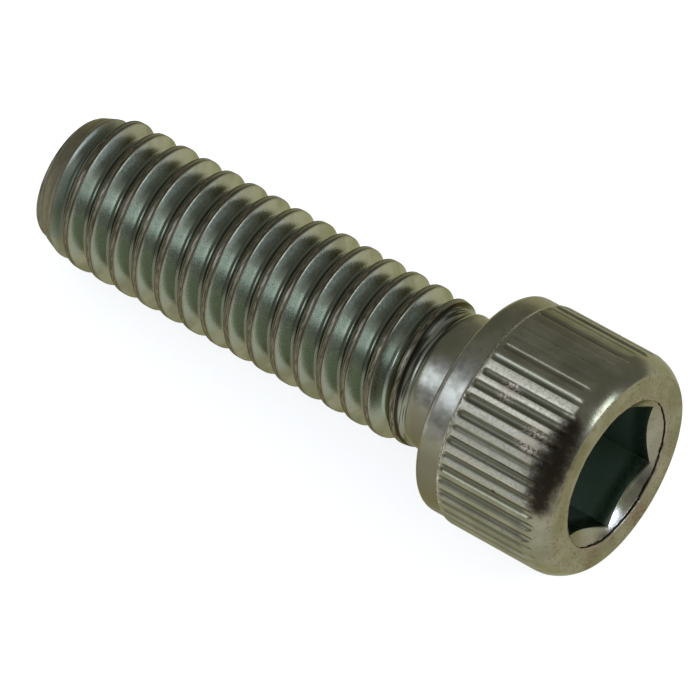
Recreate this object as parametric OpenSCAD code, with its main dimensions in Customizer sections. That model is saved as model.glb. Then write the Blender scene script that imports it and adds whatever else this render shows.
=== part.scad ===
// Hex socket cap screw, knurled head, fully threaded. Millimetres.
// The screw lies on the floor, with +Z up. The middle of its bearing face is the origin, and +X runs
// level from the point's side to the head's. Its modules draw it upright, from the point up.

/* [Shank] */
// Length from the end of the point to the bearing face
length = 25; // [16:0.5:40]
// Diameter over the thread's crests
thread_d = 7.74; // [7.6:0.02:8.6]
// Distance from one crest to the next
pitch = 1.411; // [1:0.001:1.6]
// Width of the flat on each crest
crest_w = 0.34; // [0.16:0.02:0.5]
// Width of the flat at each root
root_w = 0.2; // [0.1:0.02:0.3]
// Angle between the two flanks of the thread
flank_angle = 60; // [50:1:75]
// Angle about the axis at which the thread leaves the end face
thread_turn = 66; // [-180:1:180]
// Diameter of the plain neck under the head
neck_d = 7.07; // [6.8:0.01:7.5]
// Length of the plain neck
neck_len = 1.9; // [1:0.1:6]
// Length over which the thread runs out into the neck
runout_len = 2.1; // [0.5:0.1:4]
// Radius between the neck and the bearing face
neck_fillet_r = 0.4; // [0.1:0.05:0.8]
// Diameter of the flat end face
point_d = 6.36; // [5:0.02:7]
// Length of the taper behind the end face
point_len = 1.75; // [0.8:0.05:3]

/* [Head] */
// Diameter over the ridges of the knurl
head_d = 11.74; // [11.6:0.02:13]
// Height above the bearing face
head_h = 7.8; // [7.2:0.1:10]
// Diameter of the plain band below the knurl
band_d = 11.48; // [11:0.02:11.56]
// Height of the plain band
band_h = 1.45; // [0.8:0.05:2.5]
// Height of the step from the band up to the ridges
knurl_step_h = 0.12; // [0.05:0.01:0.3]
// Radius of the edge round the bearing face
bearing_edge_r = 0.4; // [0.1:0.05:0.7]
// Height of the rounded shoulder below the top face
shoulder_h = 1.39; // [0.8:0.01:1.7]
// Radius of the shoulder
shoulder_r = 1.85; // [1.8:0.05:3]
// Radius of the edge between the shoulder and the top face
face_edge_r = 0.15; // [0.05:0.01:0.3]

/* [Knurl] */
// Number of grooves round the head
groove_count = 48; // [36:1:50]
// Radius of a groove's round bottom
groove_r = 0.3; // [0.24:0.01:0.34]
// Depth of a groove below the ridges
groove_depth = 0.17; // [0.12:0.01:0.24]
// Angle of the first groove about the axis
groove_turn = 2.25; // [0:0.05:10]

/* [Socket] */
// Width across the flats
socket_w = 6.38; // [5.8:0.02:6.6]
// Depth of the flats below the top face
socket_depth = 4.45; // [3:0.05:5]
// Diameter of the hollow cone below the flats
socket_cone_d = 5.6; // [4.6:0.1:5.7]
// Depth of the hollow cone
socket_cone_h = 0.65; // [0.3:0.05:1]
// Angle of the hexagon about the axis
socket_turn = -10.4; // [-30:0.1:30]
// Diameter of the round mouth
mouth_d = 7.8; // [7.7:0.02:8.6]
// Depth of the straight lip at the mouth
lip_depth = 0.18; // [0.05:0.01:0.4]
// Angle of the countersink from side to side
mouth_angle = 120; // [90:1:140]

/* [Rest] */
// Angle about its own axis at which the screw lies
rest_turn = 54.75; // [0:0.25:360]

/* [Hidden] */

plating = [0.47, 0.48, 0.42];
socket_shade = [0.2, 0.24, 0.21];
round_sides = 96;
groove_sides = 24;
thread_sides = 36;

thread_r = thread_d / 2;
neck_r = neck_d / 2;
point_r = point_d / 2;
head_r = head_d / 2;
band_r = band_d / 2;
mouth_r = mouth_d / 2;

// The flanks take what the two flats leave of a pitch, and their angle sets the depth
flank_w = (pitch - crest_w - root_w) / 2;
thread_depth = flank_w / tan(flank_angle / 2);
root_r = thread_r - thread_depth;

// The thread ends at the neck, and its end ring sits just inside the neck's round
thread_end = length - neck_len;
seat_gap = 0.015;
seat_lap = 0.02;
tail_h = 0.3;
tail_r = root_r;
end_r = neck_r - seat_gap;

// Corners of the thread's profile along one pitch, measured from the middle of a crest
corner_z = [-crest_w / 2, crest_w / 2, crest_w / 2 + flank_w, pitch - crest_w / 2 - flank_w];
corner_r = [thread_r, thread_r, root_r, root_r];
corners = len(corner_z);
turns = ceil(thread_end / pitch) + 3;
rows = corners * turns;

// Lying down, it touches the floor with a ridge's lower end and with the thread's first full crest
ridge_drop = head_r - thread_r;
rest_span = length + band_h + knurl_step_h - point_len;
rest_tilt = atan(ridge_drop / rest_span);

// The shoulder is a large arc that runs into the small arc at the edge of the top face
shoulder_z = length + head_h - shoulder_h;
shoulder_c = [head_r - shoulder_r, shoulder_z];
edge_rise = shoulder_h - face_edge_r;
edge_c = [shoulder_c.x + sqrt(pow(shoulder_r - face_edge_r, 2) - pow(edge_rise, 2)), shoulder_z + edge_rise];
arc_dir = (edge_c - shoulder_c) / norm(edge_c - shoulder_c);
top_z = length + head_h;

// The countersink's cutter starts this far inside the flats
mouth_reach = 0.4;
mouth_floor_r = socket_w / 2 - mouth_reach;
mouth_h = (mouth_r - mouth_floor_r) / tan(mouth_angle / 2);

// A cut starts this far outside the surface that it goes through
clear = 1;

// Radius that the taper at the point leaves at height z
function taper_r(z) = z >= point_len ? thread_r : point_r + (thread_r - point_r) * z / point_len;

// How much of the thread's depth is left at height z, from 1 down to 0 at the neck
function runout(z) = min(1, max(0, (thread_end - z) / runout_len));

// Height of corner k of the helix at side j
function helix_z(k, j) = pitch * (floor(k / corners) - 2 + j / thread_sides) + corner_z[k % corners];

// Radius of the thread where its plain profile has radius r, at height z
function formed_r(r, z) = min(taper_r(z), end_r + (r - end_r) * runout(z));

// Plain profile radius at a height above the middle of a crest
function profile_r(h) = let (u = h - pitch * floor(h / pitch + 0.5), d = abs(u) - crest_w / 2)
    d <= 0 ? thread_r : max(root_r, thread_r - d / tan(flank_angle / 2));

// A point at radius r, height z and side j
function on_side(r, z, j) = let (a = thread_turn + 360 * j / thread_sides) [r * cos(a), r * sin(a), z];

// Corner k at side j is a point of its own, or the end ring's where the helix runs past that end
function corner_id(k, j) =
    j == thread_sides ? corner_id(k + corners, 0)
    : helix_z(k, j) <= 0 ? j
    : helix_z(k, j) >= thread_end ? thread_sides + j
    : (3 + k) * thread_sides + j;

function whole(t) = t[0] != t[1] && t[1] != t[2] && t[2] != t[0];

// The threaded length, one helix with its taper at the point and its run-out at the neck
module thread() {
    end_ring = [for (j = [0 : thread_sides - 1])
        on_side(formed_r(profile_r(-pitch * j / thread_sides), 0), 0, j)];
    neck_ring = [for (j = [0 : thread_sides - 1]) on_side(end_r, thread_end, j)];
    tail_ring = [for (j = [0 : thread_sides - 1]) on_side(tail_r, thread_end + tail_h, j)];
    helix = [for (k = [0 : rows - 1], j = [0 : thread_sides - 1]) let (z = helix_z(k, j))
        on_side(formed_r(corner_r[k % corners], z), z, j)];
    sides = [for (k = [0 : rows - corners - 2], j = [0 : thread_sides - 1])
        let (a = corner_id(k, j), b = corner_id(k, j + 1),
             c = corner_id(k + 1, j + 1), d = corner_id(k + 1, j))
        each [[a, c, b], [a, d, c]]];
    tail = [for (j = [0 : thread_sides - 1]) let (i = (j + 1) % thread_sides)
        each [[thread_sides + j, 2 * thread_sides + i, thread_sides + i],
              [thread_sides + j, 2 * thread_sides + j, 2 * thread_sides + i]]];
    caps = [[for (j = [0 : thread_sides - 1]) j],
            [for (j = [thread_sides - 1 : -1 : 0]) 2 * thread_sides + j]];
    color(plating)
    polyhedron(
        points = concat(end_ring, neck_ring, tail_ring, helix),
        faces = concat([for (t = sides) if (whole(t)) t], tail, caps));
}

// Half section of the neck, with the fillet that carries it into the bearing face
module neck_section() {
    difference() {
        polygon([
            [0, thread_end - seat_lap],
            [neck_r, thread_end - seat_lap],
            [neck_r, length - neck_fillet_r],
            [neck_r + neck_fillet_r, length],
            [neck_r + neck_fillet_r, length + clear],
            [0, length + clear]]);
        translate([neck_r + neck_fillet_r, length - neck_fillet_r])
            circle(neck_fillet_r, $fn = round_sides);
    }
}

// Half section of the head before it is knurled
module head_section() {
    polygon([
        [0, length],
        [band_r - bearing_edge_r, length],
        [band_r, length + bearing_edge_r],
        [band_r, length + band_h],
        [head_r, length + band_h + knurl_step_h],
        [head_r, shoulder_z],
        shoulder_c + shoulder_r * arc_dir,
        [edge_c.x, top_z],
        [0, top_z]]);
    translate([band_r - bearing_edge_r, length + bearing_edge_r])
        circle(bearing_edge_r, $fn = round_sides);
    intersection() {
        translate(shoulder_c)
            circle(shoulder_r, $fn = round_sides);
        polygon([shoulder_c, shoulder_c + [2 * shoulder_r, 0], shoulder_c + 2 * shoulder_r * arc_dir]);
    }
    translate(edge_c)
        circle(face_edge_r, $fn = round_sides);
}

// Neck and head as one turned blank
module blank() {
    color(plating)
    rotate_extrude($fn = round_sides)
        union() {
            neck_section();
            head_section();
        }
}

// One straight groove with a round bottom and a round lower end, open at the shoulder
module groove() {
    translate([head_r - groove_depth + groove_r, 0, length + band_h + groove_r]) {
        sphere(groove_r, $fn = groove_sides);
        cylinder(h = head_h, r = groove_r, $fn = groove_sides);
    }
}

module knurl() {
    color(plating)
    for (i = [0 : groove_count - 1])
        rotate([0, 0, groove_turn + 360 * i / groove_count])
            groove();
}

// The hexagon, the hollow cone at its bottom and the countersunk mouth with its lip
module socket() {
    color(socket_shade) {
        translate([0, 0, top_z - socket_depth])
            rotate([0, 0, socket_turn])
                cylinder(h = socket_depth + clear, d = socket_w / cos(30), $fn = 6);
        translate([0, 0, top_z - socket_depth - socket_cone_h])
            cylinder(h = socket_cone_h, r1 = 0, r2 = socket_cone_d / 2, $fn = round_sides);
        translate([0, 0, top_z - lip_depth])
            cylinder(h = lip_depth + clear, r = mouth_r, $fn = round_sides);
        translate([0, 0, top_z - lip_depth - mouth_h])
            cylinder(h = mouth_h, r1 = mouth_floor_r, r2 = mouth_r, $fn = round_sides);
    }
}

module screw() {
    difference() {
        union() {
            thread();
            blank();
        }
        knurl();
        socket();
    }
}

// Laid on the floor, with the middle of the bearing face at the origin
module lying() {
    rotate([0, 90 - rest_tilt, 0])
        rotate([0, 0, -rest_turn])
            translate([0, 0, -length])
                screw();
}

lying();  // screw
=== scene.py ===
# Hex socket cap screw with a knurled head, lying on a white floor.
# The screw is modelled upright in millimetres, from the end of its point up, and then laid down.
# psi is an angle round its axis in degrees, from the line that faces the photo's camera upward.
import math
import random

import bmesh
import bpy
from mathutils import Matrix, Vector


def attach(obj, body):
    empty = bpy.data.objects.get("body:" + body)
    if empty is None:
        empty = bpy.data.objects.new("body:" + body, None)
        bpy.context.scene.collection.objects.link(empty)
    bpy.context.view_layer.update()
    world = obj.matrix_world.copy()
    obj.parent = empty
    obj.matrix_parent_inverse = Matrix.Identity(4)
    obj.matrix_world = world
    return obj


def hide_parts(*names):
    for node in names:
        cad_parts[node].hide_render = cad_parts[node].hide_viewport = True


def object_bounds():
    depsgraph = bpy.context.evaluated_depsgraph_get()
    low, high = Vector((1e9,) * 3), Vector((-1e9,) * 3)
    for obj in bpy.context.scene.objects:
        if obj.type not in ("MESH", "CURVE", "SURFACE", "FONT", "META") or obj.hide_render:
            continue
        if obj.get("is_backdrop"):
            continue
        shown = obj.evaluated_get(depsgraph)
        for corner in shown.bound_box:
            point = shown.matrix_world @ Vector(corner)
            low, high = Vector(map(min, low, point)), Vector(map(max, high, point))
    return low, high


MM = 0.001
TURN = 2 * math.pi
NUDGE = 0.0004  # vertices closer than this, in mm, are one

# Shank, in mm
LENGTH = 25.0
CREST_R = 3.87
PITCH = 1.411
THREAD_START = math.radians(66)  # where the crest leaves the end face
NECK_R = 3.535
THREAD_END = 23.1
RUNOUT = 2.1
POINT_R = 3.18
POINT_LEN = 1.75
END_ROUND_H, END_ROUND = 0.12, 0.05  # height and depth of the soft edge at the end face
END_FACE_Z = 0.01  # what lies below this is the end face
FILLET_R = 0.4
THREAD_STEPS = 96

# Head, in mm
HEAD_R = 5.87
BAND_R = 5.74
TOP = 32.8
BAND_TOP = 26.45
KNURL_LOW = 26.57
SHOULDER_Z = 31.41
SHOULDER_R = 1.85
FACE_EDGE_R = 0.15
BEARING_EDGE_R = 0.4
FINE_FROM_R = 4.5  # from this radius of the bearing face on, the rings have the knurl's steps

# Knurl, in mm
GROOVES = 48
GROOVE_R = 0.3
GROOVE_DEPTH = 0.17
GROOVE_START = math.radians(2.25)
STEPS_PER_GROOVE = 12
KNURL_IN_R, KNURL_HIGH = 5.3, 32.5  # the wheel doesn't reach inside or above these
LOWEST_RIDGE_R = 5.84
SEED = 18
FILLED = -0.02, 0.07  # how much shallower a groove is than its depth
SHIFTED = -0.055, 0.055  # how far a groove lies from its place
RUBBED_OFF = 0.0, 0.03  # how much is gone from a ridge
RAISED = 0.0, 0.1  # how far a groove's lower end lies above the band
FAINT = 0.075  # how much shallower the grooves are at the upper side of the head
FAINT_FROM, FAINT_OVER, FAINT_TO = 18, 16, 120  # where they fade, in psi

# Socket, in mm
HEX_HALF = 3.19
HEX_DEPTH = 4.45
HEX_START = math.radians(-10.4)
HEX_TIP_R, TIP_FALL = 3.68, 0.6  # the corners are slightly rounded
CONE_R = 2.8
CONE_DEPTH = 0.65
MOUTH_R = 3.9
LIP = 0.18
MOUTH_SLOPE = math.tan(math.radians(30))
RUBBED_R, RUBBED_LOW = 3.96, TOP - LIP + 0.02  # the rim of the mouth is worn inside and above these
WAVES = ((3, 0.7, 0.02), (11, 0.0, 0.016), (37, 2.0, 0.009))  # number, start, height
NICKS = ((82, 1.6, 0.06), (126, 2.0, 0.05), (104, 4.0, 0.03))  # angle, half width, depth

# How the screw lies
REST_TURN = math.radians(54.75)  # a groove faces the floor
REST_TILT = math.atan((HEAD_R - CREST_R) / (KNURL_LOW - POINT_LEN))
LAID = (Matrix.Rotation(math.pi / 2 - REST_TILT, 4, "Y")
        @ Matrix.Rotation(-REST_TURN, 4, "Z")
        @ Matrix.Translation((0, 0, -LENGTH)))
SHARP = math.radians(38)  # an edge that turns more than this stays sharp

# The photo's camera
SENSOR, LENS = 36, 490.74
CAMERA_AZIMUTH, CAMERA_ELEVATION, CAMERA_ROLL = 35.1095, 50.3726, 3.299
CAMERA_AIM = Vector((-7.6666, -0.5566, -1.4991)) * MM
CAMERA_AWAY = 0.45844
CAMERA_NEAR, CAMERA_FAR = 0.05, 5

# The studio, in metres: name, azimuth, elevation, width, height, radiance and colour of each lamp
SOFTBOXES = (
    ("left_softbox", -38, 38, 0.14, 0.14, 3.9, (0.85, 1.0, 1.25)),
    ("right_softbox", 112, 32, 0.15, 0.1, 7.5, (0.85, 1.0, 1.25)),
    ("low_card", 118, 5, 0.08, 0.035, 5.0, (0.9, 1.0, 1.15)),
)
LAMP_AWAY = 0.35
ROOM_COLOUR, ROOM_LIGHT = (0.36, 0.375, 0.4, 1), 0.95
FLOOR_HALF, FLOOR_GREY, FLOOR_DULL, FLOOR_GLOW = 0.6, 0.8, 0.9, 0.72

# Colours of the plating, and of the highlights and shade painted on it. A pair is mixed by a
# pattern.
ZINC = (0.185, 0.176, 0.112), (0.25, 0.236, 0.158)
ZINC_GRAIN = (0.15, 0.137, 0.082)
# Painted highlight on the thread's flanks towards the camera, brightest at its peak, and painted
# shade on their lower side.
BLUISH_FLANK_HIGHLIGHT = (0.335, 0.358, 0.292), (0.4, 0.418, 0.346)
FLANK_PEAK_HIGHLIGHT = (0.5, 0.52, 0.435)
LOW_FLANK_SHADE = (0.262, 0.29, 0.212)
OLIVE_FLANK = (0.2, 0.198, 0.122), (0.275, 0.268, 0.175)
# Painted shade at the root of the thread.
ROOT_SHADE = (0.13, 0.14, 0.1)
BROWN_CREST = (0.07, 0.06, 0.038), (0.2, 0.176, 0.11)
# Painted highlight on the crests towards the camera, and a painted reflection that makes them a
# lighter olive high up.
CREST_HIGHLIGHT = (0.4, 0.34, 0.27)
CREST_UPPER_REFLECTION = (0.25, 0.235, 0.155)
# Painted shade: a dark line along both rounded edges of each crest.
CREST_RIM_SHADE = (0.04, 0.032, 0.022)
BROWN_POINT = (0.15, 0.135, 0.088), (0.21, 0.188, 0.122)
RUNOUT_STREAKS = (0.03, 0.03, 0.022), (0.24, 0.235, 0.17)
RUNOUT_LINE = (0.03, 0.026, 0.018)
# Painted highlight on the neck's grey mottle where it faces the camera, and painted shade away from
# its upper front.
NECK_MOTTLE_HIGHLIGHT = (0.215, 0.205, 0.16), (0.33, 0.305, 0.25)
LOW_NECK_SHADE = (0.15, 0.14, 0.09)
KNURL_FRINGE = (0.5, 0.45, 0.36)
# Bright ridges: real wear, with a painted highlight towards the camera and high up.
RIDGE_WEAR_AND_HIGHLIGHT = (0.56, 0.53, 0.42), (0.95, 0.9, 0.74)
# Painted shade in the knurl's grooves.
GROOVE_SHADE = (0.09, 0.085, 0.06)
SCUFF = (0.62, 0.5, 0.41)
GREEN_SOCKET = (0.21, 0.27, 0.215)
# Painted shade and a painted highlight at the two ends of the countersink's lower crescent.
CRESCENT_SHADE, CRESCENT_HIGHLIGHT = (0.055, 0.055, 0.042), (0.9, 0.9, 0.88)
SMUDGE_HALO = (0.1, 0.078, 0.052)
SMUDGE = (0.018, 0.012, 0.008)
SPECK = (0.02, 0.018, 0.012)
DOT = (0.02, 0.016, 0.012)
BROWN_FACE = (0.17, 0.13, 0.09)
FACE_COLLAR = (0.24, 0.2, 0.15)
ROUGH_FACE = (0.16, 0.115, 0.08)
FACE_EDGE_SPOTS = (0.1, 0.075, 0.045)
RUST = (0.1, 0.065, 0.035)
EDGE_TINT = (0.6, 0.58, 0.43, 1)

# Marks on the plating: psi in degrees, the rest in mm
SCUFFS = ((10, 28.4, 0.9), (-6, 30.7, 1.2))  # psi, height, reach
# The crescent's two ends are painted shade and a painted highlight.
CRESCENT_ENDS = ((-190, 0.95, CRESCENT_SHADE), (-147, 0.8, CRESCENT_HIGHLIGHT))  # psi, reach, colour
SMUDGE_STAINS = 8
SMUDGE_START, SMUDGE_STEP = -32, 5.7  # psi of the first stain, and from one to the next
SMUDGE_R, SMUDGE_Z = 5.5, 32.05
DOT_PSI, DOT_Z, DOT_REACH = -37.5, 29.7, 0.17
ROUGH_R, ROUGH_PATCHES = 4.6, ((-165, 1.0), (-118, 0.9))  # psi, reach
RUST_REACH, RUST_SPOTS = 0.13, ((-170.4, 5.07), (-174.3, 5.26))  # psi, radius
RAGGED, SOLID = 0.9, 0.3  # of a stain's reach, how far its edge wanders and how far it is solid
CREST_PHASE = 10.5  # ten whole turns keep it above 0, and the half is a crest's middle
RELIEF_STRENGTH, RELIEF_DISTANCE = 0.28, 0.00002  # the distance in metres

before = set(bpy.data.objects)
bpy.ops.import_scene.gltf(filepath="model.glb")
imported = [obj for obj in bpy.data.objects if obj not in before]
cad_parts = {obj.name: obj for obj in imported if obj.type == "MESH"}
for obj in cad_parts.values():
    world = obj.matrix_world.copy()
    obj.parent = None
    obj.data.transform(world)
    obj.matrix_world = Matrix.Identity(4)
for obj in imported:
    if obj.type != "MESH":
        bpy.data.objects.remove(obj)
cad_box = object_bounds()


# Camera

def look(azimuth, elevation):
    """Direction from the screw towards a place given by its azimuth and elevation."""
    a, e = math.radians(azimuth), math.radians(elevation)
    return Vector((math.sin(a) * math.cos(e), -math.cos(a) * math.cos(e), math.sin(e)))


def facing(back, roll=0.0):
    """Turn of a camera or lamp whose back points along back."""
    side = Vector((0, 0, 1)).cross(back).normalized()
    up = back.cross(side)
    turn = Matrix((side, up, back)).transposed()
    return turn.to_4x4() @ Matrix.Rotation(roll, 4, "Z")


def photo_camera():
    """A long lens from above the front right, as in the photograph."""
    data = bpy.data.cameras.new("photo_camera")
    data.sensor_width = SENSOR
    data.lens = LENS
    data.clip_start = CAMERA_NEAR
    data.clip_end = CAMERA_FAR
    camera = bpy.data.objects.new("photo_camera", data)
    bpy.context.scene.collection.objects.link(camera)
    back = look(CAMERA_AZIMUTH, CAMERA_ELEVATION)
    stand = Matrix.Translation(CAMERA_AIM + back * CAMERA_AWAY)
    camera.matrix_world = stand @ facing(back, math.radians(CAMERA_ROLL))
    bpy.context.scene.camera = camera


# Shank

def crest_section():
    """Half section of one pitch, root to root, with its seam: (height above its middle, radius)."""
    root_up = [(0.7055, 3.137), (0.63, 3.146), (0.575, 3.185), (0.53, 3.248), (0.48, 3.333),
               (0.38, 3.506), (0.29, 3.662), (0.235, 3.757), (0.2, 3.816)]
    tip_side = root_up + [(0.176, 3.847), (0.152, 3.859), (0.125, 3.864)]
    seam = [(-0.095, 3.862), (-0.078, 3.848), (-0.06, 3.862)]
    flat = [(0.0, 3.869), (0.07, 3.869), (0.13, 3.866), (0.155, 3.86), (0.178, 3.846)]
    return [(-h, r) for h, r in tip_side] + seam + flat + root_up[::-1]


def section_radius(height):
    """Radius of the thread at a height above the middle of a crest."""
    h = height - PITCH * math.floor(height / PITCH + 0.5)
    section = crest_section()
    for (h0, r0), (h1, r1) in zip(section, section[1:]):
        if h0 <= h <= h1:
            return r0 + (r1 - r0) * (h - h0) / (h1 - h0)
    return section[0][1]


def rolled(radius, z):
    """Radius of the thread after the point's taper and the run-out into the neck."""
    left = min(1.0, max(0.0, (THREAD_END - z) / RUNOUT))
    taper = POINT_R + (CREST_R - POINT_R) * z / POINT_LEN
    rounded = END_ROUND * max(0.0, 1 - z / END_ROUND_H)
    return min(NECK_R + (radius - NECK_R) * left, taper - rounded)


def end_and_roll(v):
    """Moves a vertex of the endless helix to where the finished thread has it."""
    radius = math.hypot(v.co.x, v.co.y)
    turn = math.atan2(v.co.y, v.co.x)
    z = min(THREAD_END, max(0.0, v.co.z))
    if z != v.co.z:
        radius = section_radius(z - PITCH * (turn - THREAD_START) / TURN)
    radius = rolled(radius, z)
    v.co = (radius * math.cos(turn), radius * math.sin(turn), z)


def endless_helix(bm):
    """A row of crests that climbs one pitch in one turn, longer than the thread at both ends."""
    start = Matrix.Rotation(THREAD_START, 4, "Z")
    rows = range(math.ceil(THREAD_END / PITCH) + 4)
    places = [(r, h + PITCH * (row - 2)) for row in rows for h, r in crest_section()[1:]]
    points = [bm.verts.new(start @ Vector((r, 0, z))) for r, z in places]
    lines = [bm.edges.new(pair) for pair in zip(points, points[1:])]
    bmesh.ops.spin(bm, geom=points + lines, cent=(0, 0, 0), axis=(0, 0, 1),
                   dvec=(0, 0, PITCH / THREAD_STEPS), angle=TURN, steps=THREAD_STEPS,
                   use_merge=False)


def thread(bm):
    """The thread with its end face. Returns the ring of edges at the neck."""
    endless_helix(bm)
    for v in bm.verts:
        end_and_roll(v)
    bmesh.ops.remove_doubles(bm, verts=bm.verts, dist=NUDGE)
    bmesh.ops.dissolve_degenerate(bm, dist=NUDGE, edges=bm.edges)
    open_edges = [e for e in bm.edges if e.is_boundary]
    end_face = [e for e in open_edges if all(v.co.z < END_FACE_Z for v in e.verts)]
    bmesh.ops.holes_fill(bm, edges=end_face, sides=0)
    return [e for e in bm.edges if e.is_boundary]


# Head and socket, as rings round the axis

def next_ring(bm, ring, place):
    """Extrudes a ring of edges and puts each new vertex where place(angle) says: (radius, z)."""
    made = bmesh.ops.extrude_edge_only(bm, edges=ring)["geom"]
    for v in made:
        if isinstance(v, bmesh.types.BMVert):
            turn = math.atan2(v.co.y, v.co.x)
            radius, z = place(turn)
            v.co = (radius * math.cos(turn), radius * math.sin(turn), z)
    return [e for e in made if isinstance(e, bmesh.types.BMEdge) and e.is_boundary]


def arc(centre, radius, from_deg, to_deg, count):
    """Points on an arc in the half section, after its first."""
    out = []
    for i in range(1, count + 1):
        a = math.radians(from_deg + (to_deg - from_deg) * i / count)
        out.append((centre[0] + radius * math.cos(a), centre[1] + radius * math.sin(a)))
    return out


def neck_section():
    """Neck, fillet and the inner part of the bearing face."""
    points = [(NECK_R, z) for z in (23.12, 23.6, 24.1, LENGTH - FILLET_R)]
    points += arc((NECK_R + FILLET_R, LENGTH - FILLET_R), FILLET_R, 180, 90, 6)
    return points + [(FINE_FROM_R, LENGTH)]


def band_section():
    """The outer part of the bearing face, its edge, the plain band and the step to the knurl."""
    points = [(5.1, LENGTH), (BAND_R - BEARING_EDGE_R, LENGTH)]
    points += arc((BAND_R - BEARING_EDGE_R, LENGTH + BEARING_EDGE_R), BEARING_EDGE_R, -90, 0, 6)
    points += [(BAND_R, 25.7), (BAND_R, 26.1), (BAND_R, 26.36)]
    return points + [(5.748, 26.42), (5.775, 26.46), (5.822, 26.5), (5.853, 26.545),
                     (HEAD_R - 0.003, 26.6), (HEAD_R, 26.66)]


def shoulder_section():
    """The knurl's height, the wide round of the shoulder and the edge of the top face."""
    points = [(HEAD_R, 26.72 + 0.08 * i) for i in range(3)]
    points += [(HEAD_R, 27.1 + 0.54 * i) for i in range(8)]
    points += [(HEAD_R, SHOULDER_Z - 0.15), (HEAD_R, SHOULDER_Z)]
    rise = TOP - FACE_EDGE_R - SHOULDER_Z
    reach = math.sqrt((SHOULDER_R - FACE_EDGE_R) ** 2 - rise ** 2)
    centre = (HEAD_R - SHOULDER_R, SHOULDER_Z)
    turn = math.degrees(math.atan2(rise, reach))
    points += arc(centre, SHOULDER_R, 0, turn, 20)
    return points + arc((centre[0] + reach, SHOULDER_Z + rise), FACE_EDGE_R, turn, 90, 5)


def face_section():
    """The top face with a faint pressed ring, the rim of the mouth and its lip."""
    low = TOP - LIP
    return [(4.75, TOP), (4.26, TOP), (4.2, TOP - 0.014), (4.13, TOP - 0.002), (3.99, TOP),
            (3.945, TOP - 0.004), (3.918, TOP - 0.018), (3.903, TOP - 0.045),
            (MOUTH_R, TOP - 0.08), (MOUTH_R, low + 0.025), (MOUTH_R - 0.006, low + 0.006),
            (MOUTH_R - 0.03, low - 0.017)]


def mouth_wear(turn):
    """How far the rim of the mouth is rubbed out at an angle, with its nicks."""
    wear = 0.0
    for number, start, height in WAVES:
        wear += height * math.sin(number * turn + start)
    for nick, width, depth in NICKS:
        off = (math.degrees(turn) - nick + 180) % 360 - 180
        wear += depth * math.exp(-(off / width) ** 2)
    return wear


def hexagon(turn):
    """Radius of the hexagon at an angle about the axis, its corners slightly rounded."""
    a = (turn - HEX_START) % (TURN / 6) - TURN / 12
    return min(HEX_HALF / math.cos(a), HEX_TIP_R - TIP_FALL * (TURN / 12 - abs(a)) ** 2)


def countersink(radius):
    """Height of the countersink at a radius."""
    return TOP - LIP - (MOUTH_R - radius) * MOUTH_SLOPE


def head(bm, ring):
    """Neck and head up to the mouth's lip, each ring drawn out of the last. Returns the last."""
    for radius, z in neck_section():
        ring = next_ring(bm, ring, lambda turn: (radius, z))
    cuts = GROOVES * STEPS_PER_GROOVE // THREAD_STEPS - 1
    bmesh.ops.subdivide_edges(bm, edges=ring, cuts=cuts)
    ring = [e for e in bm.edges if e.is_boundary]
    for v in {v for e in ring for v in e.verts}:
        v.co.xy = v.co.xy.normalized() * FINE_FROM_R
    for radius, z in band_section() + shoulder_section() + face_section():
        rubbed = 1.0 if radius < RUBBED_R and z > RUBBED_LOW else 0.0
        ring = next_ring(bm, ring, lambda turn: (radius + rubbed * mouth_wear(turn), z))
    return ring


def socket(bm, ring):
    """Countersink, hexagon and the hollow cone at its bottom."""
    low = TOP - HEX_DEPTH
    edge = [(inset, -inset * MOUTH_SLOPE) for inset in (0.1, 0.03)] + [(0.008, 0.008), (0.0, 0.03)]
    for inset, drop in edge:
        ring = next_ring(bm, ring, lambda turn: (
            hexagon(turn) + inset, countersink(hexagon(turn)) - drop))
    for z in (31.6, 30.8, 30.0, 29.3, low + 0.03):
        ring = next_ring(bm, ring, lambda turn: (hexagon(turn), z))
    ring = next_ring(bm, ring, lambda turn: (hexagon(turn) - 0.03, low))
    for radius, z in ((CONE_R, low), (CONE_R / 2, low - CONE_DEPTH / 2), (0.0, low - CONE_DEPTH)):
        ring = next_ring(bm, ring, lambda turn: (radius, z))


# Knurl

def groove_bottom(across, z, foot):
    """Radius that the knurling wheel leaves this far from a groove's middle, at height z."""
    drop = max(0.0, foot + GROOVE_R - z)
    left = GROOVE_R ** 2 - across ** 2 - drop ** 2
    return HEAD_R - GROOVE_DEPTH + GROOVE_R - math.sqrt(left) if left > 0 else HEAD_R


def groove_fade(i):
    """How much shallower groove i is because it lies at the upper side of the head."""
    psi = (-90 - GROOVE_START * 360 / TURN - i * 360 / GROOVES + 180) % 360 - 180
    return FAINT * min(1.0, max(0.0, (psi - FAINT_FROM) / FAINT_OVER)) if psi < FAINT_TO else 0.0


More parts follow.
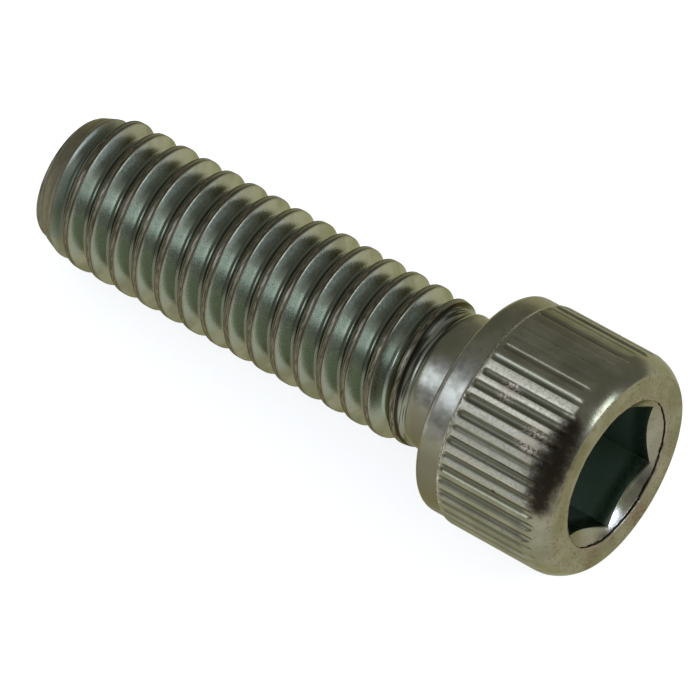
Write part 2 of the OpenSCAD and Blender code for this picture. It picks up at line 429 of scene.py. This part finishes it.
def knurl(bm, chance):
    """Presses the straight grooves into the head. Each groove and ridge is a little different."""
    step = TURN / GROOVES
    filled = [chance.uniform(*FILLED) for _ in range(GROOVES)]
    shift = [chance.uniform(*SHIFTED) for _ in range(GROOVES)]
    worn = [chance.uniform(*RUBBED_OFF) for _ in range(GROOVES)]
    foot = [BAND_TOP + chance.uniform(*RAISED) for _ in range(GROOVES)]
    deepest = HEAD_R - GROOVE_DEPTH + FILLED[0]
    for v in bm.verts:
        radius, z = math.hypot(v.co.x, v.co.y), v.co.z
        if radius < KNURL_IN_R or z < BAND_TOP - 0.05 or z > KNURL_HIGH:
            continue
        place = (math.atan2(v.co.y, v.co.x) - GROOVE_START) / step
        i = math.floor(place + 0.5)
        n = i % GROOVES
        across = (place - i) * step * HEAD_R - shift[n]
        bottom = groove_bottom(across, z, foot[n]) + filled[n] + groove_fade(i)
        ridge = HEAD_R - worn[math.floor(place) % GROOVES]
        new = min(radius, max(bottom, deepest), max(ridge, LOWEST_RIDGE_R))
        v.co.xy = v.co.xy * (new / radius)


def lay_down(bm, name):
    """Turns a finished bmesh into an object that lies where the CAD part lies."""
    bmesh.ops.remove_doubles(bm, verts=bm.verts, dist=NUDGE)
    bmesh.ops.recalc_face_normals(bm, faces=bm.faces)
    bmesh.ops.transform(bm, matrix=Matrix.Scale(MM, 4) @ LAID, verts=bm.verts)
    mesh = bpy.data.meshes.new(name)
    bm.to_mesh(mesh)
    bm.free()
    mesh.shade_smooth()
    mesh.set_sharp_from_angle(angle=SHARP)
    piece = bpy.data.objects.new(name, mesh)
    bpy.context.scene.collection.objects.link(piece)
    return piece


def cap_screw():
    """The whole screw as one closed mesh."""
    chance = random.Random(SEED)
    bm = bmesh.new()
    ring = thread(bm)
    ring = head(bm, ring)
    socket(bm, ring)
    knurl(bm, chance)
    return lay_down(bm, "cap_screw")


# Plating, with painted highlights and shade

def on_head(psi, radius, z):
    """A point of the upright screw, psi degrees round from the line that faces the camera."""
    a = math.radians(-90 - psi)
    return (radius * math.cos(a), radius * math.sin(a), z)


class Nodes:
    """Adds nodes to a material. A value is a number or the output that feeds it."""

    def __init__(self, tree):
        self.tree = tree

    def sums(self, kind, *values, clamp=False):
        """A Math node."""
        node = self.tree.nodes.new("ShaderNodeMath")
        node.operation, node.use_clamp = kind, clamp
        for place, value in zip(node.inputs, values):
            if isinstance(value, (int, float)):
                place.default_value = value
            else:
                self.tree.links.new(value, place)
        return node.outputs[0]

    def times(self, first, *rest):
        """All the values multiplied."""
        for value in rest:
            first = self.sums("MULTIPLY", first, value)
        return first

    def between(self, value, low, high):
        """0 below low, 1 above high and smooth between them. With low above high it falls."""
        node = self.tree.nodes.new("ShaderNodeMapRange")
        node.interpolation_type = "SMOOTHSTEP"
        node.inputs["From Min"].default_value = low
        node.inputs["From Max"].default_value = high
        self.tree.links.new(value, node.inputs["Value"])
        return node.outputs["Result"]

    def coat_over(self, under, over, amount):
        """One colour laid over another by an amount."""
        node = self.tree.nodes.new("ShaderNodeMix")
        node.data_type = "RGBA"
        self.tree.links.new(amount, node.inputs["Factor"])
        for place, value in ((node.inputs[6], under), (node.inputs[7], over)):
            if isinstance(value, tuple):
                place.default_value = (*value, 1)
            else:
                self.tree.links.new(value, place)
        return node.outputs[2]


class Plating(Nodes):
    """The screw's finish: places on the upright screw in mm, patterns and the colour so far."""

    def __init__(self, tree):
        super().__init__(tree)
        self.place, self.radius, self.z, self.from_crest = self.upright_place()
        self.clouds = self.speckle(0.55, 4.0)
        self.grain = self.speckle(7.0, 4.0)
        self.fine = self.speckle(24.0, 2.0)
        self.blotch = self.speckle(2.2, 5.0)
        self.drawn = self.speckle(9.0, 2.0, (0.25, 0.25, 2.2))
        self.facing_us = self.turned_to(-7)
        self.above = self.turned_to(30)
        self.on_thread = self.between(self.z, 23.0, 21.9)
        self.colour = self.coat_over(*ZINC, self.between(self.clouds, 0.35, 0.65))

    def upright_place(self):
        """Place, radius, height and distance from the nearest crest's middle."""
        texture = self.tree.nodes.new("ShaderNodeTexCoord")
        stand = self.tree.nodes.new("ShaderNodeMapping")
        stand.inputs["Scale"].default_value = (1 / MM,) * 3
        stand.inputs["Rotation"].default_value = LAID.to_3x3().inverted().to_euler("XYZ")
        stand.inputs["Location"].default_value = (0, 0, LENGTH)
        self.tree.links.new(texture.outputs["Object"], stand.inputs["Vector"])
        parts = self.tree.nodes.new("ShaderNodeSeparateXYZ")
        self.tree.links.new(stand.outputs["Vector"], parts.inputs["Vector"])
        x, y, z = parts.outputs
        radius = self.sums("SQRT", self.sums("ADD", self.times(x, x), self.times(y, y)))
        turn = self.sums("ARCTAN2", y, x)
        climb = self.sums("MULTIPLY_ADD", turn, -1 / TURN, self.sums("DIVIDE", z, PITCH))
        phase = self.sums("FRACT", self.sums("ADD", climb, THREAD_START / TURN + CREST_PHASE))
        off_middle = self.sums("ABSOLUTE", self.sums("SUBTRACT", phase, 0.5))
        return stand.outputs["Vector"], radius, z, self.times(off_middle, PITCH)

    def speckle(self, scale, detail, squash=(1, 1, 1)):
        """Noise over the screw, stretched where squash is small."""
        stretch = self.tree.nodes.new("ShaderNodeMapping")
        stretch.inputs["Scale"].default_value = squash
        self.tree.links.new(self.place, stretch.inputs["Vector"])
        noise = self.tree.nodes.new("ShaderNodeTexNoise")
        noise.inputs["Scale"].default_value = scale
        noise.inputs["Detail"].default_value = detail
        self.tree.links.new(stretch.outputs["Vector"], noise.inputs["Vector"])
        return noise.outputs["Fac"]

    def turned_to(self, psi):
        """How squarely a point faces psi round the axis: 1 there, 0 a quarter turn away."""
        node = self.tree.nodes.new("ShaderNodeVectorMath")
        node.operation = "DOT_PRODUCT"
        node.inputs[1].default_value = on_head(psi, 1.0, 0.0)
        self.tree.links.new(self.place, node.inputs[0])
        return self.sums("DIVIDE", node.outputs["Value"], self.radius)

    def stain(self, psi, radius, z, reach, ragged):
        """Amount of a soft stain round a point of the screw, with a ragged edge."""
        away = self.tree.nodes.new("ShaderNodeVectorMath")
        away.operation = "DISTANCE"
        away.inputs[1].default_value = on_head(psi, radius, z)
        self.tree.links.new(self.place, away.inputs[0])
        edge = self.times(self.sums("SUBTRACT", ragged, 0.5), reach * RAGGED)
        return self.between(self.sums("ADD", away.outputs["Value"], edge), reach, reach * SOLID)

    def lay(self, over, amount):
        """Lays a colour over what is there."""
        self.colour = self.coat_over(self.colour, over, amount)


def thread_flanks(p):
    """Painted highlight, bluish towards the camera and brightest at its peak, with painted shade on
    the lower side; olive at the sides; painted shade at the root. Returns the flanks.
    """
    flank = p.times(p.on_thread, p.between(p.radius, 3.83, 3.79))
    bluish_highlight = p.coat_over(*BLUISH_FLANK_HIGHLIGHT, p.between(p.grain, 0.35, 0.65))
    peak = p.times(p.between(p.above, 0.84, 0.92), p.between(p.facing_us, 0.88, 0.95))
    bluish_highlight = p.coat_over(bluish_highlight, FLANK_PEAK_HIGHLIGHT, peak)
    bluish_highlight = p.coat_over(bluish_highlight, LOW_FLANK_SHADE, p.between(p.above, 0.66, 0.42))
    olive = p.coat_over(*OLIVE_FLANK, p.between(p.clouds, 0.4, 0.6))
    p.lay(p.coat_over(bluish_highlight, olive, p.between(p.facing_us, 0.68, 0.4)), flank)
    p.lay(ROOT_SHADE, p.times(p.on_thread, p.between(p.radius, 3.24, 3.15)))
    return flank


def crest_wear_and_highlight(p):
    """The brown of a worn crest, with a painted highlight towards the camera and a painted
    reflection that makes it a lighter olive high up.
    """
    rubbed = p.coat_over(*BROWN_CREST, p.between(p.drawn, 0.36, 0.6))
    lit = p.times(p.between(p.facing_us, 0.95, 0.99), p.between(p.drawn, 0.36, 0.52),
                  p.between(p.from_crest, 0.085, 0.05), p.between(p.above, 0.72, 0.88))
    rubbed = p.coat_over(rubbed, CREST_HIGHLIGHT, p.times(lit, 0.7))
    high_up = p.between(p.turned_to(75), 0.85, 0.97)
    return p.coat_over(rubbed, CREST_UPPER_REFLECTION, p.times(high_up, 0.8))


def worn_crests(p, rubbed):
    """A narrow rubbed land on each crest, in the crest colour with its painted highlight, and a
    dark line of painted shade on both sides. Returns the lands.
    """
    land = p.times(p.on_thread, p.between(p.from_crest, 0.1, 0.075))
    p.lay(rubbed, land)
    rims = p.times(p.between(p.from_crest, 0.165, 0.135), p.between(p.from_crest, 0.08, 0.105))
    p.lay(CREST_RIM_SHADE, p.times(rims, p.on_thread, 0.85))
    return land


def brown_point(p):
    """The taper behind the end face and the face itself."""
    taper = p.sums("MULTIPLY_ADD", p.z, (POINT_R - CREST_R) / POINT_LEN, p.radius)
    chamfer = p.times(p.between(taper, POINT_R - 0.04, POINT_R - 0.02), p.between(p.z, 1.9, 1.6))
    point = p.sums("MAXIMUM", chamfer, p.between(p.z, 0.8, 0.6))
    p.lay(p.coat_over(*BROWN_POINT, p.between(p.drawn, 0.3, 0.7)), point)


def streaked_runout(p, rubbed):
    """Lines round the last turn, where the thread runs out into the neck."""
    fading = p.times(p.between(p.z, 21.3, 21.9), p.between(p.z, 23.0, 22.75))
    streaks = p.speckle(9.0, 1.0, (0.06, 0.06, 1.1))
    last_flank = p.coat_over(*RUNOUT_STREAKS, p.between(streaks, 0.4, 0.6))
    p.lay(last_flank, p.times(fading, 0.9))
    lines = p.times(p.between(p.from_crest, 0.34, 0.24), p.between(p.from_crest, 0.1, 0.15))
    p.lay(RUNOUT_LINE, p.times(fading, lines))
    # The crest colour laid here carries its painted highlight and reflection.
    p.lay(rubbed, p.times(fading, p.between(p.from_crest, 0.13, 0.08)))


def mottled_neck(p):
    """Neck and band: a grey mottle with a painted highlight where they face the camera and painted
    shade away from the upper front, and the light fringe where the knurl starts.
    """
    turned = p.times(p.between(p.z, 22.9, 23.3), p.between(p.z, 26.6, 26.4))
    mottled_highlight = p.coat_over(*NECK_MOTTLE_HIGHLIGHT, p.between(p.blotch, 0.35, 0.68))
    p.lay(mottled_highlight, p.times(turned, p.between(p.facing_us, 0.88, 0.97)))
    p.lay(LOW_NECK_SHADE, p.times(turned, p.between(p.above, 0.6, 0.3)))
    fringe = p.times(p.between(p.z, 26.38, 26.44), p.between(p.z, 26.6, 26.54))
    p.lay(KNURL_FRINGE, p.times(fringe, p.between(p.grain, 0.42, 0.55)))


def knurl_wear_and_highlight(p):
    """Bright ridges, real wear where hands rub with a painted highlight towards the camera and high
    up, painted shade in the grooves, and two scuffs. Returns ridges and grooves.
    """
    knurled = p.between(p.z, 26.5, 26.8)
    ridge = p.times(knurled, p.between(p.radius, 5.79, 5.84))
    highlight_and_handling = p.sums("MAXIMUM", p.between(p.facing_us, 0.855, 0.9),
                     p.times(p.between(p.facing_us, 0.1, -0.9), 0.35))
    # On the ridges: the painted highlight towards the camera and the real wear at the back.
    worn = p.times(ridge, highlight_and_handling)
    bright = p.coat_over(*RIDGE_WEAR_AND_HIGHLIGHT, p.between(p.above, 0.72, 0.92))
    patchy = p.sums("MULTIPLY_ADD", p.between(p.grain, 0.3, 0.6), 0.35, 0.6)
    p.lay(bright, p.times(worn, patchy))
    groove = p.times(knurled, p.between(p.z, 31.6, 31.2), p.between(p.radius, 5.83, 5.76))
    p.lay(GROOVE_SHADE, p.times(groove, 0.6))
    for psi, z, reach in SCUFFS:
        scuff = p.times(p.stain(psi, 5.85, z, reach, p.grain), p.between(p.grain, 0.46, 0.56))
        p.lay(SCUFF, p.times(scuff, 0.8))
    return worn, groove


def green_socket(p):
    """The hexagon's walls, and painted shade and a painted highlight at the two ends of the lower
    crescent.
    """
    level = p.sums("MULTIPLY_ADD", p.radius, -MOUTH_SLOPE, p.z)
    walls = p.times(p.between(p.radius, 3.75, 3.7), p.between(p.z, 26.5, 27.5))
    p.lay(GREEN_SOCKET, p.times(p.between(level, 30.36, 30.31), walls))
    sunk = p.times(p.between(p.radius, 3.91, 3.87), p.between(p.z, 32.1, 32.3))
    for psi, reach, tone in CRESCENT_ENDS:
        patch = p.times(p.stain(psi, 3.72, 32.5, reach, p.fine), sunk)
        p.lay(tone, p.times(patch, 0.85))


def shoulder_smudge(p):
    """A row of stains that run together on the shoulder, with a brown halo. Returns the smudge."""
    ragged = p.sums("MULTIPLY_ADD", p.grain, 0.5, p.times(p.blotch, 0.5))
    smudge, halo = 0.0, 0.0
    for step in range(SMUDGE_STAINS):
        psi = SMUDGE_START + SMUDGE_STEP * step
        swell = math.sin(math.pi * (step + 1) / (SMUDGE_STAINS + 1))
        core = p.stain(psi, SMUDGE_R, SMUDGE_Z, 0.75 + 0.4 * swell, ragged)
        rest = p.stain(psi, SMUDGE_R, SMUDGE_Z, 1.0 + 0.7 * swell, p.blotch)
        smudge, halo = p.sums("MAXIMUM", smudge, core), p.sums("MAXIMUM", halo, rest)
    p.lay(SMUDGE_HALO, p.times(halo, 0.5))
    smudge = p.times(smudge, 0.92)
    p.lay(SMUDGE, smudge)
    return smudge


def specks(p):
    """Fine dark specks all over and one dot on the knurl."""
    p.lay(SPECK, p.times(p.between(p.fine, 0.735, 0.78), 0.8))
    p.lay(DOT, p.stain(DOT_PSI, 5.86, DOT_Z, DOT_REACH, p.fine))


def brown_face(p):
    """Brown patches, rough spots and two rust dots on the top face."""
    on_face = p.between(p.z, 32.35, 32.7)
    p.lay(BROWN_FACE, p.times(on_face, p.between(p.blotch, 0.46, 0.66), 0.5))
    p.lay(FACE_COLLAR, p.times(on_face, p.between(p.radius, 4.3, 4.1), 0.5))
    for psi, reach in ROUGH_PATCHES:
        patch = p.stain(psi, ROUGH_R, TOP, reach, p.blotch)
        p.lay(ROUGH_FACE, p.times(patch, p.between(p.grain, 0.38, 0.52), 0.8))
    spots = p.times(p.between(p.z, 32.5, 32.75), p.between(p.grain, 0.57, 0.68))
    p.lay(FACE_EDGE_SPOTS, p.times(spots, 0.65))
    for psi, radius in RUST_SPOTS:
        p.lay(RUST, p.stain(psi, radius, TOP, RUST_REACH, p.fine))


def sheen(p, flank, land, worn, groove, smudge):
    """Roughness: duller where the screw is worn, glossier on the flanks and the shoulder."""
    inner = p.times(p.between(p.z, 22.3, 21.3), p.between(p.z, 1.8, 2.8))
    rough = p.sums("MULTIPLY_ADD", p.clouds, 0.16, 0.2)
    for amount, change in ((p.grain, 0.1), (smudge, 0.3), (worn, 0.34), (groove, 0.15),
                           (p.times(flank, inner), -0.07), (p.between(p.z, 31.5, 31.9), -0.07),
                           (p.between(p.z, 2.6, 1.6), 0.16)):
        rough = p.sums("MULTIPLY_ADD", amount, change, rough)
    return p.sums("MULTIPLY_ADD", land, 0.16, rough, clamp=True)


def fine_relief(p, land):
    """Bump of the grain and of the drawn lines on the crests."""
    relief = p.sums("MULTIPLY_ADD", p.grain, 0.5, p.times(p.fine, 0.25))
    relief = p.sums("MULTIPLY_ADD", p.times(p.drawn, land), 0.6, relief)
    bump = p.tree.nodes.new("ShaderNodeBump")
    bump.inputs["Strength"].default_value = RELIEF_STRENGTH
    bump.inputs["Distance"].default_value = RELIEF_DISTANCE
    p.tree.links.new(relief, bump.inputs["Height"])
    return bump.outputs["Normal"]


def dull_zinc():
    """The plating with its painted highlights and shade, laid on from the base colour to the wear
    on the top face.
    """
    mat = bpy.data.materials.new("dull_zinc")
    mat.use_nodes = True
    tree = mat.node_tree
    shader = tree.nodes["Principled BSDF"]
    p = Plating(tree)
    p.lay(ZINC_GRAIN, p.between(p.grain, 0.6, 0.75))
    flank = thread_flanks(p)
    rubbed = crest_wear_and_highlight(p)
    land = worn_crests(p, rubbed)
    brown_point(p)
    streaked_runout(p, rubbed)
    mottled_neck(p)
    worn, groove = knurl_wear_and_highlight(p)
    green_socket(p)
    smudge = shoulder_smudge(p)
    specks(p)
    brown_face(p)
    tree.links.new(p.colour, shader.inputs["Base Color"])
    tree.links.new(sheen(p, flank, land, worn, groove, smudge), shader.inputs["Roughness"])
    shader.inputs["Metallic"].default_value = 1.0
    shader.inputs["Specular Tint"].default_value = EDGE_TINT
    tree.links.new(fine_relief(p, land), shader.inputs["Normal"])
    return mat


# Studio

def white_paper():
    """A matt white that the camera and the screw's reflections see as lit from within."""
    mat = bpy.data.materials.new("white_floor")
    mat.use_nodes = True
    tree = mat.node_tree
    shader = tree.nodes["Principled BSDF"]
    shader.inputs["Base Color"].default_value = (FLOOR_GREY, FLOOR_GREY, FLOOR_GREY, 1)
    shader.inputs["Roughness"].default_value = FLOOR_DULL
    shader.inputs["Specular IOR Level"].default_value = 0.0
    shader.inputs["Emission Color"].default_value = (1, 1, 1, 1)
    nodes = Nodes(tree)
    path = tree.nodes.new("ShaderNodeLightPath").outputs
    seen = nodes.sums("MAXIMUM", path["Is Camera Ray"], path["Is Glossy Ray"])
    seen = nodes.sums("MAXIMUM", seen, path["Is Transmission Ray"])
    tree.links.new(nodes.times(seen, FLOOR_GLOW), shader.inputs["Emission Strength"])
    return mat


def white_floor(z):
    """A level floor at height z."""
    bm = bmesh.new()
    bmesh.ops.create_grid(bm, x_segments=1, y_segments=1, size=FLOOR_HALF)
    bmesh.ops.translate(bm, vec=(0, 0, z), verts=bm.verts)
    mesh = bpy.data.meshes.new("white_floor")
    bm.to_mesh(mesh)
    bm.free()
    mesh.materials.append(white_paper())
    floor = bpy.data.objects.new("white_floor", mesh)
    bpy.context.scene.collection.objects.link(floor)
    floor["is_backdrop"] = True


def softbox(name, azimuth, elevation, width, height, radiance, colour):
    """A rectangular lamp that the screw sees in that direction."""
    data = bpy.data.lights.new(name, "AREA")
    data.shape = "RECTANGLE"
    data.size, data.size_y = width, height
    data.energy = radiance * math.pi * width * height
    data.color = colour
    lamp = bpy.data.objects.new(name, data)
    bpy.context.scene.collection.objects.link(lamp)
    back = look(azimuth, elevation)
    lamp.matrix_world = Matrix.Translation(back * LAMP_AWAY) @ facing(back)


def studio():
    """A dim room with the softboxes."""
    world = bpy.data.worlds.new("dim_room")
    world.use_nodes = True
    background = world.node_tree.nodes["Background"]
    background.inputs["Color"].default_value = ROOM_COLOUR
    background.inputs["Strength"].default_value = ROOM_LIGHT
    bpy.context.scene.world = world
    for lamp in SOFTBOXES:
        softbox(*lamp)


def main():
    photo_camera()
    screw = cap_screw()
    screw.data.materials.append(dull_zinc())
    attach(screw, "root")
    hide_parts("screw")
    white_floor(min(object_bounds()[0][2], cad_box[0][2]))
    studio()
    bpy.context.scene.view_settings.view_transform = "Standard"


main()
